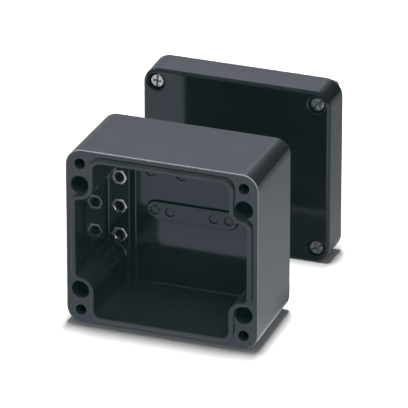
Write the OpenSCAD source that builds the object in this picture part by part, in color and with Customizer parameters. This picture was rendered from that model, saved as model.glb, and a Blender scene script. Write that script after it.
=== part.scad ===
// Small moulded terminal housing, shown open: the base stands on its lower side
// wall with its mouth to the front, and its lid stands loose behind it, face to
// the front, with its captive screws in place. Millimetres, +Z up, front at -Y.

/* [Housing] */
// Width over the parting edge
housing_w = 80; // [74:1:120]
// Height over the parting edge
housing_h = 75; // [74:1:120]
// Depth of the base, from its back to the parting plane
base_d = 40; // [34:1:60]
// Depth of the lid, from its face to the parting plane
lid_d = 15; // [14:0.5:20]
// Radius of the four outer corners, seen from the front
corner_r = 7; // [5:0.5:8]
// Draft of the outer walls, in degrees
outer_draft = 1; // [0.5:0.1:1.5]
// Radius of the edge at the parting plane
rim_edge_r = 0.8; // [0.4:0.1:1.2]
// Radius of the edge round the back and round the lid's face
far_edge_r = 1.6; // [1.2:0.1:2.4]
// Gap between the back of the base and the face of the lid as they stand
stand_gap = 44.5; // [20:0.5:80]

/* [Base inside] */
// Side wall at the mouth, with the sealing tongue on it
wall_t = 4.4; // [4:0.1:6]
// Thickness of the floor
floor_t = 5.5; // [4.5:0.1:8]
// Draft of the cavity walls, in degrees
cavity_draft = 0.5; // [0.25:0.05:1]
// Radius of the cavity's corners at top and bottom
cavity_r = 3; // [2:0.1:4]
// Radius where a boss meets a side wall
nook_r = 1.6; // [1:0.1:2.5]
// Chamfer where the cavity's walls meet the floor
floor_chamfer = 1; // [0.5:0.1:1.4]
// Width of the sealing tongue
tongue_w = 2; // [1.6:0.1:2.2]
// Height of the sealing tongue over the rim
tongue_h = 1.5; // [1.2:0.1:2.2]

/* [Fixing holes] */
// Distance of the hole axes from the sides
hole_inset = 6; // [5.8:0.1:7]
// Distance of a wall screw hole below or above its lid screw hole
hole_drop = 9; // [8.5:0.1:9.8]
// Bore that takes a wall screw's head
head_bore_d = 7.5; // [7:0.1:7.8]
// Hole for a wall screw
wall_bore_d = 4.5; // [4:0.1:5.5]
// Web left under a wall screw's head
wall_web_t = 4.5; // [3:0.1:6]
// Mouth of a lid screw hole in the base
mouth_d = 4.4; // [4.3:0.1:5]
// Depth of that mouth, down to the threaded insert
mouth_depth = 4.5; // [3:0.1:5]

/* [Threaded inserts] */
// Bore of every insert, the core of an M4 thread
thread_bore_d = 3.3; // [3.2:0.1:3.5]
// Diameter of a corner insert
corner_insert_d = 6; // [5.4:0.1:6.4]
// Length of a corner insert
corner_insert_l = 8; // [6:0.1:10]
// Width across the flats of a ledge insert
hex_flats = 6; // [5.6:0.1:6.4]
// Length of a ledge insert
hex_insert_l = 5.8; // [4.6:0.1:6]
// Height of a ledge insert over its ledge
hex_proud = 0.3; // [0.1:0.05:0.5]
// Pitch of the inserts along a ledge
hex_pitch = 12.5; // [9:0.1:12.6]
// Distance of the insert axes from the ledge's inner edge
hex_edge = 4.2; // [3.8:0.1:5.5]
// Width of the retaining groove turned into an insert
insert_groove_w = 1.2; // [0.8:0.1:1.6]
// Depth of that groove
insert_groove_t = 0.4; // [0.2:0.05:0.5]

/* [Floor details] */
// Height of the ledges over the floor
ledge_h = 2; // [1.5:0.1:3]
// Width of a ledge, from the side wall at the mouth to its sloping edge
ledge_w = 9.6; // [8:0.1:11]
// Length of the raised pad across the floor
pad_l = 38.6; // [37:0.1:42]
// Width of the pad
pad_w = 8.4; // [7:0.1:9.4]
// Height of the pad over the floor
pad_h = 1.2; // [0.8:0.1:1.8]
// Width of the pad's sloping sides, seen from the front
pad_side_w = 0.3; // [0.2:0.1:0.8]
// Diameter of the four dimples in the pad, where it is drilled when it is used
pad_hole_d = 3.6; // [3.2:0.1:4]
// Depth of the dimples
pad_hole_depth = 0.5; // [0.3:0.1:2]
// Distance of the inner pair of dimples from the middle
pad_hole_near = 9.2; // [8:0.1:10]
// Distance of the outer pair of dimples from the pad's ends
pad_hole_end = 3.7; // [3:0.1:4.5]
// Diameter of the two round marks on the floor
mark_d = 4.8; // [4:0.1:5.5]
// Depth of the two round marks
mark_depth = 0.5; // [0.3:0.1:2]
// Distance of the outer mark to the left of the middle
mark_far = 17.6; // [15:0.1:19]
// Distance of the inner mark to the left of the middle
mark_near = 4.6; // [3:0.1:6]
// Height of the marks over the middle
mark_z = 16.4; // [15:0.1:19]

/* [Lid] */
// Thickness of the lid's face
lid_t = 4; // [3:0.1:5]
// Clearance of the groove round the tongue, on each side
groove_play = 0.25; // [0.15:0.05:0.3]
// Width of the lip between the groove and the hollow
lip_w = 1.4; // [1:0.1:1.8]
// Height of the seal at rest
seal_t = 1.8; // [1.4:0.1:2.2]
// How far the closed lid presses the seal together
seal_squeeze = 0.5; // [0.3:0.1:0.7]
// Clearance of the seal in its groove, on each side
seal_play = 0.1; // [0.05:0.05:0.15]
// Counterbore over a lid screw
counterbore_d = 7; // [6.6:0.1:7.6]
// Chamfer round the mouth of a counterbore
counterbore_chamfer = 0.9; // [0.4:0.1:1.1]
// Depth of the counterbore
counterbore_depth = 4; // [3.5:0.1:4.5]
// Hole for a lid screw
screw_hole_d = 4.6; // [4.3:0.1:4.8]

/* [Lid screws] */
// Head of a lid screw
head_d = 5.6; // [5.2:0.1:6.2]
// Height of the head
head_h = 2.8; // [2.4:0.1:3.2]
// Thread of a lid screw
thread_d = 3.9; // [3.7:0.1:4]
// Length of the thread
thread_l = 8.5; // [8:0.5:12]
// Waist of a lid screw, between head and thread
waist_d = 3; // [2.8:0.1:3.1]
// Width of the slot in the head
slot_w = 0.9; // [0.7:0.1:1.1]
// Depth of the slot
slot_depth = 1.1; // [0.8:0.1:1.4]
// Span of the cross recess
cross_span = 3.8; // [3.2:0.1:4.4]
// Depth of the cross recess
cross_depth = 1.6; // [1.3:0.1:1.9]
// Outer diameter of a retaining washer
washer_d = 5.6; // [5.2:0.1:6]
// Thickness of a retaining washer
washer_t = 1.2; // [0.8:0.1:1.6]
// How far a loose screw can be drawn out
screw_travel = 5; // [3:0.1:5.5]
// Clearance of a washer on the waist and in its pocket
washer_play = 0.05; // [0.03:0.01:0.08]

/* [Hidden] */
$fn = 48;
// Number of facets in a circle of the drafted shells
SHELL_FN = 32;
// A cutter reaches past the face that it opens by this much
CUT = 1;
// Thickness of the slices that span a drafted shell
SLICE = 0.01;
// Land left between a wall screw's head bore and the tongue
BORE_SKIN = 0.1;
// Smallest radius left in a corner of the lid's hollow
LEAST_R = 0.5;
SIDES = [-1, 1];
CORNERS = [[-1, 1], [1, 1], [-1, -1], [1, -1]];
// How far each lid screw's slot is turned clockwise from upright, in degrees
SCREW_TURNS = [5, 45, 20, 60];
// Number of inserts on each ledge
HEX_COUNT = 3;

// Depths along Y, with the middle of the whole at Y = 0
total_d = tongue_h + base_d + stand_gap + lid_d + thread_l;
rim_y = tongue_h - total_d / 2;
back_y = rim_y + base_d;
floor_y = back_y - floor_t;
ledge_y = floor_y - ledge_h;
face_y = back_y + stand_gap;
lid_rim_y = face_y + lid_d;
mid_z = housing_h / 2;

// Outline of the cavity at the parting plane, as half widths
boss_r = head_bore_d / 2 + BORE_SKIN + tongue_w;
cavity_x = housing_w / 2 - wall_t;
cavity_z = housing_h / 2 - wall_t;
screw_x = housing_w / 2 - hole_inset;
screw_z = housing_h / 2 - hole_inset;
wall_hole_z = screw_z - hole_drop;
waist_x = screw_x - boss_r;
waist_z = wall_hole_z - boss_r;
cavity_d = base_d - floor_t;
ledge_x = cavity_x - ledge_w;
hex_x = ledge_x + hex_edge;

// Lid
groove_depth = tongue_h + seal_t - seal_squeeze;
seal_y = lid_rim_y - groove_depth;
head_seat_y = face_y + counterbore_depth;
waist_l = lid_d - counterbore_depth;
pocket_depth = screw_travel + washer_t;
pocket_d = washer_d + 2 * washer_play;
hex_groove_y = ledge_y - hex_proud + (hex_insert_l - insert_groove_w) / 2;
corner_insert_y = rim_y + mouth_depth;

// Shared shapes

// A plate of an outline drawn from the front, from depth y over thickness t
module plate(y, t) {
    translate([0, y + t, mid_z])
        rotate([90, 0, 0])
            linear_extrude(t)
                children();
}

// A disc or bore along Y, from depth y over length l
module rod(y, l, d) {
    translate([0, y + l, 0])
        rotate([90, 0, 0])
            cylinder(h = l, d = d);
}

// A chamfer at the mouth of a bore that opens to the front at depth y
module mouth_cone(y, chamfer, bore_d) {
    translate([0, y + chamfer, 0])
        rotate([90, 0, 0])
            cylinder(h = chamfer + CUT, d1 = bore_d, d2 = bore_d + 2 * (chamfer + CUT));
}

// A six-sided rod along Y, with flats at top and bottom
module hex_rod(y, l, flats) {
    translate([0, y + l, 0])
        rotate([90, 0, 0])
            cylinder(h = l, r = flats / sqrt(3), $fn = 6);
}

module rounded_rect(w, h, r) {
    square([w - 2 * r, h], center = true);
    square([w, h - 2 * r], center = true);
    for (sx = SIDES, sz = SIDES)
        translate([sx * (w / 2 - r), sz * (h / 2 - r)])
            circle(r);
}

// The outer form of a moulding, widest just behind the parting plane.
// dir is +1 where the moulding lies behind that plane and -1 where it lies before it.
module drafted_shell(plane_y, depth, dir) {
    rim = [for (a = [0 : 30 : 90])
        [rim_edge_r * (1 - cos(a)), rim_edge_r * (1 - sin(a))]];
    far_inset = (depth - far_edge_r) * tan(outer_draft);
    far = [for (a = [0 : 30 : 90])
        [depth - far_edge_r * (1 - sin(a)), far_inset + far_edge_r * (1 - cos(a))]];
    hull()
        for (ring = concat(rim, far))
            plate(plane_y + dir * ring[0] - (dir > 0 ? 0 : SLICE), SLICE)
                rounded_rect(housing_w - 2 * ring[1], housing_h - 2 * ring[1],
                             corner_r - ring[1], $fn = SHELL_FN);
}

// The cavity's outline, grown by e: two crossed bars, blended round the four bosses
module cavity_outline(e) {
    rounded_rect(2 * (cavity_x + e), 2 * (waist_z + e), max(nook_r + e, LEAST_R));
    rounded_rect(2 * (waist_x + e), 2 * (cavity_z + e), max(cavity_r + e, LEAST_R));
    for (c = CORNERS)
        difference() {
            translate([c[0] * screw_x / 2, c[1] * wall_hole_z / 2])
                square([screw_x, wall_hole_z], center = true);
            translate([c[0] * screw_x, c[1] * wall_hole_z])
                circle(boss_r - e);
        }
}

// Puts a thing on each lid screw's axis, or on each wall screw's axis
module at_lid_screws() {
    for (c = CORNERS)
        translate([c[0] * screw_x, 0, mid_z + c[1] * screw_z])
            children();
}

module at_wall_screws() {
    for (c = CORNERS)
        translate([c[0] * screw_x, 0, mid_z + c[1] * wall_hole_z])
            children();
}

function hex_z(i) = mid_z + (i - (HEX_COUNT + 1) / 2) * hex_pitch;

// Base

// How much smaller the cavity's outline is where its walls have drawn in by d
function narrowed(d) = [1 - d / cavity_x, 1 - d / cavity_z];

// A length of the cavity, narrowing evenly as its walls draw in from d1 to d2
module cavity_length(y, l, d1, d2) {
    translate([0, y, mid_z])
        rotate([-90, 0, 0])
            linear_extrude(l, scale = [for (i = [0, 1]) narrowed(d2)[i] / narrowed(d1)[i]], slices = 1)
                scale(narrowed(d1))
                    cavity_outline(0, $fn = SHELL_FN);
}

// The cavity narrows towards the floor for its draft, and then for the chamfer at its foot
module cavity() {
    wall_l = cavity_d - floor_chamfer;
    drawn_in = wall_l * tan(cavity_draft);
    plate(rim_y - CUT, CUT)
        cavity_outline(0, $fn = SHELL_FN);
    cavity_length(rim_y, wall_l, 0, drawn_in);
    cavity_length(rim_y + wall_l, floor_chamfer, drawn_in, drawn_in + floor_chamfer);
}

module tongue() {
    plate(rim_y - tongue_h, tongue_h + CUT)
        difference() {
            cavity_outline(tongue_w, $fn = SHELL_FN);
            cavity_outline(0, $fn = SHELL_FN);
        }
}

// Raised strips along both side walls, with a sloping edge, for the inserts
module ledges() {
    for (side = SIDES)
        translate([0, 0, wall_t / 2])
            linear_extrude(housing_h - wall_t)
                polygon([
                    [side * ledge_x, ledge_y],
                    [side * (ledge_x - ledge_h), floor_y],
                    [side * (ledge_x - ledge_h), floor_y + CUT],
                    [side * (cavity_x + CUT), floor_y + CUT],
                    [side * (cavity_x + CUT), ledge_y]
                ]);
}

module pad() {
    half = (pad_l - pad_w) / 2;
    hull()
        for (side = SIDES) {
            translate([side * half, 0, mid_z])
                rod(floor_y - pad_h, SLICE, pad_w - 2 * pad_side_w, $fn = SHELL_FN);
            translate([side * half, 0, mid_z])
                rod(floor_y, CUT, pad_w, $fn = SHELL_FN);
        }
}

module pad_holes() {
    far = pad_l / 2 - pad_hole_end;
    for (x = [-far, -pad_hole_near, pad_hole_near, far])
        translate([x, 0, mid_z])
            rod(floor_y - pad_h - CUT, pad_hole_depth + CUT, pad_hole_d);
}

module floor_marks() {
    for (x = [mark_far, mark_near])
        translate([-x, 0, mid_z + mark_z])
            rod(floor_y - CUT, mark_depth + CUT, mark_d);
}

module base() {
    color([0.08, 0.09, 0.11])
        difference() {
            union() {
                difference() {
                    drafted_shell(rim_y, base_d, 1);
                    cavity();
                }
                tongue();
                ledges();
                pad();
            }
            at_wall_screws() {
                rod(rim_y - CUT, base_d - wall_web_t + CUT, head_bore_d);
                rod(rim_y, base_d + CUT, wall_bore_d);
            }
            at_lid_screws() {
                rod(rim_y - CUT, mouth_depth + CUT, mouth_d);
                corner_insert_body();
            }
            for (side = SIDES, i = [1 : HEX_COUNT])
                translate([side * hex_x, 0, hex_z(i)])
                    ledge_insert_body();
            pad_holes();
            floor_marks();
        }
}

// Inserts, with a turned groove that the moulding locks into

module corner_insert_body() {
    groove_y = corner_insert_y + (corner_insert_l - insert_groove_w) / 2;
    difference() {
        rod(corner_insert_y, corner_insert_l, corner_insert_d);
        difference() {
            rod(groove_y, insert_groove_w, corner_insert_d + CUT);
            rod(groove_y - CUT, insert_groove_w + 2 * CUT, corner_insert_d - 2 * insert_groove_t);
        }
    }
}

module corner_insert(i) {
    c = CORNERS[i - 1];
    color([0.72, 0.70, 0.64])
        translate([c[0] * screw_x, 0, mid_z + c[1] * screw_z])
            difference() {
                corner_insert_body();
                rod(corner_insert_y - CUT, corner_insert_l + 2 * CUT, thread_bore_d);
            }
}

module ledge_insert_body() {
    difference() {
        hex_rod(ledge_y - hex_proud, hex_insert_l, hex_flats);
        difference() {
            rod(hex_groove_y, insert_groove_w, 2 * hex_flats);
            rod(hex_groove_y - CUT, insert_groove_w + 2 * CUT, hex_flats - 2 * insert_groove_t);
        }
    }
}

module ledge_insert(side, i) {
    color([0.74, 0.73, 0.68])
        translate([side * hex_x, 0, hex_z(i)])
            difference() {
                ledge_insert_body();
                rod(ledge_y - hex_proud - CUT, hex_insert_l + 2 * CUT, thread_bore_d);
            }
}

// Lid

module lid() {
    hollow_d = lid_d - lid_t;
    color([0.07, 0.08, 0.10])
        difference() {
            drafted_shell(lid_rim_y, lid_d, -1);
            plate(face_y + lid_t, hollow_d + CUT)
                cavity_outline(-groove_play - lip_w);
            plate(seal_y, groove_depth + CUT)
                difference() {
                    cavity_outline(tongue_w + groove_play);
                    cavity_outline(-groove_play);
                }
            at_lid_screws() {
                rod(face_y - CUT, counterbore_depth + CUT, counterbore_d);
                mouth_cone(face_y, counterbore_chamfer, counterbore_d);
                rod(face_y, lid_d, screw_hole_d);
                rod(lid_rim_y - pocket_depth, pocket_depth + CUT, pocket_d);
            }
        }
}

module lid_seal() {
    color([0.30, 0.31, 0.32])
        plate(seal_y, seal_t)
            difference() {
                cavity_outline(tongue_w + groove_play - seal_play);
                cavity_outline(seal_play - groove_play);
            }
}

// Captive screws: a washer on the waist keeps each one in the lid

module lid_screw(i) {
    c = CORNERS[i - 1];
    head_y = head_seat_y - head_h;
    tip_l = (thread_d - waist_d) / 2;
    color([0.78, 0.79, 0.80])
        translate([c[0] * screw_x, 0, mid_z + c[1] * screw_z])
            rotate([0, SCREW_TURNS[i - 1], 0])
                difference() {
                    union() {
                        rod(head_y, head_h, head_d);
                        rod(head_y, head_h + waist_l + CUT, waist_d);
                        rod(lid_rim_y, thread_l - tip_l, thread_d);
                        translate([0, lid_rim_y + thread_l, 0])
                            rotate([90, 0, 0])
                                cylinder(h = tip_l, d1 = waist_d, d2 = thread_d);
                    }
                    translate([-slot_w / 2, head_y - CUT, -head_d])
                        cube([slot_w, slot_depth + CUT, 2 * head_d]);
                    translate([-cross_span / 2, head_y - CUT, -slot_w / 2])
                        cube([cross_span, cross_depth + CUT, slot_w]);
                    translate([-slot_w / 2, head_y - CUT, -cross_span / 2])
                        cube([slot_w, cross_depth + CUT, cross_span]);
                }
}

module retaining_washer(i) {
    c = CORNERS[i - 1];
    color([0.55, 0.56, 0.58])
        translate([c[0] * screw_x, 0, mid_z + c[1] * screw_z])
            difference() {
                rod(lid_rim_y - washer_t, washer_t, washer_d);
                rod(lid_rim_y - washer_t - CUT, washer_t + 2 * CUT, waist_d + 2 * washer_play);
            }
}

base();
lid();
lid_seal();
lid_screw(1);  // lid_screw_1
lid_screw(2);  // lid_screw_2
lid_screw(3);  // lid_screw_3
lid_screw(4);  // lid_screw_4
retaining_washer(1);  // retaining_washer_1
retaining_washer(2);  // retaining_washer_2
retaining_washer(3);  // retaining_washer_3
retaining_washer(4);  // retaining_washer_4
corner_insert(1);  // corner_insert_1
corner_insert(2);  // corner_insert_2
corner_insert(3);  // corner_insert_3
corner_insert(4);  // corner_insert_4
ledge_insert(-1, 1);  // ledge_insert_left_1
ledge_insert(-1, 2);  // ledge_insert_left_2
ledge_insert(-1, 3);  // ledge_insert_left_3
ledge_insert(1, 1);  // ledge_insert_right_1
ledge_insert(1, 2);  // ledge_insert_right_2
ledge_insert(1, 3);  // ledge_insert_right_3
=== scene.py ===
"""Dresses the open terminal housing: a moulded base, its loose lid with captive screws, seal and inserts."""

import math

import bmesh
import bpy
from bpy.props import FloatProperty, FloatVectorProperty, PointerProperty
from mathutils import Matrix, Vector
from mathutils.geometry import delaunay_2d_cdt


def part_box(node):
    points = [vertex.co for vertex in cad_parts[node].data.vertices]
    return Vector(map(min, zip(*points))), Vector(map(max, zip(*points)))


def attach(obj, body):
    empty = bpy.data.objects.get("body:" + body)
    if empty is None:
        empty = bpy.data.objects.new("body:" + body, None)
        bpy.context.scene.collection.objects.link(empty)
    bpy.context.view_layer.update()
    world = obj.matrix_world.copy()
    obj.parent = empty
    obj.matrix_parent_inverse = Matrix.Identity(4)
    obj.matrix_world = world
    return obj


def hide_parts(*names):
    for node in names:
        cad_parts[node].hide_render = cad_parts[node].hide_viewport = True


bl_info = {
    "name": "Terminal housing",
    "version": (1, 0, 0),
    "blender": (4, 5, 0),
    "location": "3D View > Sidebar > Housing",
    "description": "Makes the finished surfaces of an open moulded terminal housing",
    "category": "Object",
}

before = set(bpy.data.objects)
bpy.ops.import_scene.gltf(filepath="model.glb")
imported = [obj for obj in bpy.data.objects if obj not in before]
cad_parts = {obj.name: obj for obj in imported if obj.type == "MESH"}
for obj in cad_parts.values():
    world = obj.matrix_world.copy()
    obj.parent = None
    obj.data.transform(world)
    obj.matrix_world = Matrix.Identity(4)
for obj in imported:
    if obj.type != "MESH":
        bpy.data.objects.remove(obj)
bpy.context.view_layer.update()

MM = 0.001
FINE = 1e-4
BODY = "housing"
CORNERS = (1, 2, 3, 4)
CORNER_INSERTS = [f"corner_insert_{i}" for i in CORNERS]
LEDGE_ROWS = (1, 2, 3)
LEDGE_INSERTS = [f"ledge_insert_{side}_{i}" for side in ("left", "right") for i in LEDGE_ROWS]
SHARP_ANGLE = math.radians(40)
CUT_SHARP_ANGLE = math.radians(30)

# Small sizes, in millimetres
DIMPLE_X = (-15.6, -9.2, 9.2, 15.6)
DIMPLE = {"radius": 1.8, "depth": 0.5, "edge": 0.22}
MARK_X, MARK_UP = (-17.6, -4.6), 16.4
MARK = {"radius": 2.4, "depth": 0.5, "edge": 0.15}
CORNER_INSERT_R = 3.0
BORE_R = 1.98
CORE_R = 1.62
WAIST_R = 1.5
TIP_L = 0.8
RIDGE_H = 0.33


def box_mm(name):
    """The low and high corners of a node's box, in millimetres."""
    low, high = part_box(name)
    return low / MM, high / MM


def node_size(name):
    low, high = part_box(name)
    return high - low


# What a user would change

LENGTH = {"unit": "LENGTH", "subtype": "DISTANCE"}
ANGLE = {"unit": "ROTATION", "subtype": "ANGLE"}
COLOUR = {"subtype": "COLOR", "size": 3, "min": 0, "max": 1}


class HousingSizes(bpy.types.PropertyGroup):
    corner_r: FloatProperty(
        name="Outer corners", description="Radius of the four outer corners",
        default=7 * MM, **LENGTH)
    draft: FloatProperty(
        name="Outer draft", description="Taper of the outer walls away from the parting plane",
        default=math.radians(1), **ANGLE)
    rim_edge_r: FloatProperty(
        name="Parting edge", description="Radius of the edge at the parting plane",
        default=0.5 * MM, **LENGTH)
    far_edge_r: FloatProperty(
        name="Far edge", description="Radius of the edge round the back and the lid's face",
        default=1.6 * MM, **LENGTH)
    wall_t: FloatProperty(
        name="Side wall", description="Thickness of the side walls at the mouth",
        default=4.4 * MM, **LENGTH)
    floor_t: FloatProperty(name="Floor", description="Thickness of the base's floor", default=5.5 * MM, **LENGTH)
    tongue_w: FloatProperty(name="Tongue width", description="Width of the sealing tongue", default=2 * MM, **LENGTH)
    tongue_h: FloatProperty(
        name="Tongue height", description="Height of the sealing tongue over the rim",
        default=1.5 * MM, **LENGTH)
    head_bore_d: FloatProperty(
        name="Head bore", description="Bore for the head of a wall screw",
        default=7.5 * MM, **LENGTH)
    wall_bore_d: FloatProperty(
        name="Wall screw hole", description="Hole for the shank of a wall screw",
        default=4.5 * MM, **LENGTH)
    hole_drop: FloatProperty(
        name="Hole step", description="Distance of a wall screw hole from its lid screw hole",
        default=9 * MM, **LENGTH)
    ledge_h: FloatProperty(
        name="Ledge height", description="Height of the ledges over the floor",
        default=2 * MM, **LENGTH)
    ledge_x: FloatProperty(
        name="Ledge edge", description="Distance of a ledge's edge from the middle",
        default=26 * MM, **LENGTH)
    wall_web_t: FloatProperty(
        name="Screw web", description="Web left under a wall screw's head",
        default=4.5 * MM, **LENGTH)
    mouth_d: FloatProperty(
        name="Corner hole", description="Mouth of a lid screw hole in the base",
        default=4.4 * MM, **LENGTH)
    pad_l: FloatProperty(
        name="Pad length", description="Length of the raised pad across the floor",
        default=38.6 * MM, **LENGTH)
    pad_w: FloatProperty(name="Pad width", description="Width of the raised pad", default=8.4 * MM, **LENGTH)
    pad_h: FloatProperty(name="Pad height", description="Height of the pad over the floor", default=1.2 * MM, **LENGTH)
    lid_t: FloatProperty(name="Lid face", description="Thickness of the lid's face", default=4 * MM, **LENGTH)
    counterbore_d: FloatProperty(
        name="Counterbore", description="Counterbore over a lid screw",
        default=7 * MM, **LENGTH)
    counterbore_depth: FloatProperty(
        name="Counterbore depth", description="Depth of the counterbore, down to the screw head's seat",
        default=4 * MM, **LENGTH)
    screw_hole_d: FloatProperty(name="Lid screw hole", description="Hole for a lid screw", default=4.6 * MM, **LENGTH)
    pocket_depth: FloatProperty(
        name="Washer pocket", description="Depth of the pocket that a retaining washer runs in",
        default=6.2 * MM, **LENGTH)
    thread_pitch: FloatProperty(name="Thread pitch", description="Pitch of every thread", default=0.7 * MM, **LENGTH)


class HousingColours(bpy.types.PropertyGroup):
    moulding: FloatVectorProperty(
        name="Moulding", description="Colour of the base and lid",
        default=(0.0085, 0.0095, 0.0100), **COLOUR)
    # Painted glow: the moulding emits this colour evenly, lifting its darkest parts as light would
    painted_glow: FloatVectorProperty(
        name="Painted glow", description="Faint cast that stays in the darkest parts of the moulding",
        default=(0.0020, 0.0068, 0.0080), **COLOUR)
    # This colour also paints the highlight lines along the ledges' edges
    edge_scuff_and_sheen: FloatVectorProperty(
        name="Trimmed edge", description="Colour of the moulding where its flash was trimmed",
        default=(0.15, 0.158, 0.168), **COLOUR)
    seal: FloatVectorProperty(
        name="Seal", description="Colour of the rubber seal",
        default=(0.060, 0.062, 0.066), **COLOUR)
    steel: FloatVectorProperty(
        name="Screws", description="Colour of the stainless screws",
        default=(0.66, 0.67, 0.67), **COLOUR)
    nickel: FloatVectorProperty(
        name="Inserts", description="Colour of the nickel-plated inserts",
        default=(0.68, 0.70, 0.71), **COLOUR)
    # Painted shade: the corner inserts are the same nickel, darkened for the shade in their deep holes
    tarnish: FloatVectorProperty(
        name="Corner inserts", description="Colour of the inserts deep in the corner holes",
        default=(0.10, 0.105, 0.11), **COLOUR)
    washer: FloatVectorProperty(
        name="Washers", description="Colour of the retaining washers",
        default=(0.055, 0.057, 0.062), **COLOUR)
    floor: FloatVectorProperty(
        name="Stand", description="Colour of the floor under the part",
        default=(0.92, 0.92, 0.92), **COLOUR)


class HousingStage(bpy.types.PropertyGroup):
    azimuth: FloatProperty(
        name="Azimuth", description="How far the camera stands to the right of the front",
        default=math.radians(20.3), **ANGLE)
    elevation: FloatProperty(
        name="Elevation", description="How far the camera looks down",
        default=math.radians(24.94), **ANGLE)
    distance: FloatProperty(
        name="Distance", description="Distance of the camera from the point that it looks at",
        default=2.2482, **LENGTH)
    lens: FloatProperty(name="Lens", description="Focal length of the camera", default=505.6, unit="CAMERA")
    aim: FloatVectorProperty(
        name="Aim", description="Point of the part that the camera is framed on",
        default=(0, -33.25 * MM, 37.5 * MM), subtype="TRANSLATION", size=3)
    aim_right: FloatProperty(
        name="Right of aim", description="How far the picture's middle lies to the right of that point",
        default=9.56 * MM, **LENGTH)
    aim_up: FloatProperty(
        name="Above aim", description="How far the picture's middle lies above that point",
        default=10.0 * MM, **LENGTH)


# Paths and outlines, drawn from the front as (x, z) in millimetres or as (across, along)

def arc(centre, radius, start, end, steps):
    """Points on an arc from start to end, in degrees."""
    angles = [math.radians(start + (end - start) * i / steps) for i in range(steps + 1)]
    return [(centre[0] + radius * math.cos(a), centre[1] + radius * math.sin(a)) for a in angles]


def rounding(radius, steps):
    """A quarter round as (distance from one side, distance from the other), from (radius, 0) to (0, radius)."""
    angles = [math.pi / 2 * i / steps for i in range(steps + 1)]
    return [(radius * (1 - math.sin(a)), radius * (1 - math.cos(a))) for a in angles]


def circle(centre, radius, steps):
    return arc(centre, radius, 0, 360, steps)[:-1]


def hexagon(centre, flats, run=3):
    """A hexagon with flats at top and bottom, and some points along each side."""
    corners = circle(centre, flats / math.sqrt(3), 6)
    points = []
    for (ax, az), (bx, bz) in zip(corners, corners[1:] + corners[:1]):
        points += [(ax + (bx - ax) * i / run, az + (bz - az) * i / run) for i in range(run)]
    return points


def soften(path, steps=4):
    """Rounds the corners of a path. Each point is (across, along, corner radius)."""
    out = [path[0][:2]]
    for before, corner, after in zip(path, path[1:], path[2:]):
        here = Vector(corner[:2])
        into, away = here - Vector(before[:2]), Vector(after[:2]) - here
        turn = into.angle(away)
        if corner[2] <= 0 or turn < FINE:
            out.append(corner[:2])
            continue
        into.normalize()
        away.normalize()
        reach = corner[2] * math.tan(turn / 2)
        start = here - into * reach
        side = Vector((-into.y, into.x))
        if side.dot(away) < 0:
            side = -side
        centre = start + side * corner[2]
        for i in range(steps + 1):
            a = turn * i / steps
            out.append(tuple(centre - side * corner[2] * math.cos(a) + into * corner[2] * math.sin(a)))
    out.append(path[-1][:2])
    return out


def rounded_box(half_w, half_h, radius, steps):
    """A rectangle with round corners, anticlockwise from the right."""
    points = []
    for i, (sx, sz) in enumerate(((1, 1), (-1, 1), (-1, -1), (1, -1))):
        centre = (sx * (half_w - radius), sz * (half_h - radius))
        points += arc(centre, radius, 90 * i, 90 * i + 90, steps)
    return points


def stadium(half_l, half_w, steps):
    """A bar with round ends."""
    right = arc((half_l - half_w, 0), half_w, -90, 90, steps)
    left = arc((half_w - half_l, 0), half_w, 90, 270, steps)
    return right + left


# Meshes

def ring(bm, outline, depth):
    """A closed row of vertices. depth is a number, or gives one for each point."""
    return [bm.verts.new((x, depth(x, z) if callable(depth) else depth, z)) for x, z in outline]


def join(bm, first, second):
    """A band of faces between two rows."""
    for i in range(len(first)):
        j = (i + 1) % len(first)
        bm.faces.new((first[i], first[j], second[j], second[i]))


def wall(bm, levels):
    """A wall through closed outlines, each given as (outline, depth), as its rows."""
    rows = [ring(bm, outline, depth) for outline, depth in levels]
    for first, second in zip(rows, rows[1:]):
        join(bm, first, second)
    return rows


def lathe(bm, centre, profile, steps):
    """Turns a profile of (radius, depth) about an axis that runs from front to back, as rows."""
    return wall(bm, [(circle(centre, r, steps), y) for r, y in profile])


def anticlockwise(outline):
    area = sum(a[0] * b[1] - b[0] * a[1] for a, b in zip(outline, outline[1:] + outline[:1]))
    return area > 0


def fill(bm, outer, holes=(), creases=(), depth=None):
    """Fills the area inside the outer row and outside the holes, with edges along the creases."""
    loops = [outer, *holes]
    verts, faces = [], []
    for loop in loops:
        ids = list(range(len(verts), len(verts) + len(loop)))
        if not anticlockwise([(v.co.x, v.co.z) for v in loop]):
            ids.reverse()
        faces.append(ids)
        verts += loop
    points = [Vector((v.co.x, v.co.z)) for v in verts]
    edges = []
    for crease in creases:
        first = len(points)
        points += [Vector(p) for p in crease]
        edges += [(i, i + 1) for i in range(first, len(points) - 1)]
    found, _, triangles, came_from, _, inside = delaunay_2d_cdt(points, edges, faces, 1, FINE)
    made = []
    for place, sources in zip(found, came_from):
        known = [i for i in sources if i < len(verts)]
        if known:
            made.append(verts[known[0]])
        else:
            made.append(bm.verts.new((place.x, depth(place.x, place.y), place.y)))
    for triangle, ids in zip(triangles, inside):
        if list(ids) == [0]:
            bm.faces.new([made[i] for i in triangle])


def add_object(name, data):
    made = bpy.data.objects.new(name, data)
    bpy.context.scene.collection.objects.link(made)
    return made


def finish_mesh(name, bm):
    """The millimetre mesh as an object in metres, with its faces outwards."""
    bmesh.ops.recalc_face_normals(bm, faces=bm.faces)
    mesh = bpy.data.meshes.new(name)
    bm.to_mesh(mesh)
    bm.free()
    mesh.transform(Matrix.Scale(MM, 4))
    mesh.shade_smooth()
    mesh.set_sharp_from_angle(angle=SHARP_ANGLE)
    return add_object(name, mesh)


def weight_normals(piece):
    modifier = piece.modifiers.new("Weighted normals", "WEIGHTED_NORMAL")
    modifier.keep_sharp = True
    modifier.weight = 100
    return settle(piece)


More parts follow.
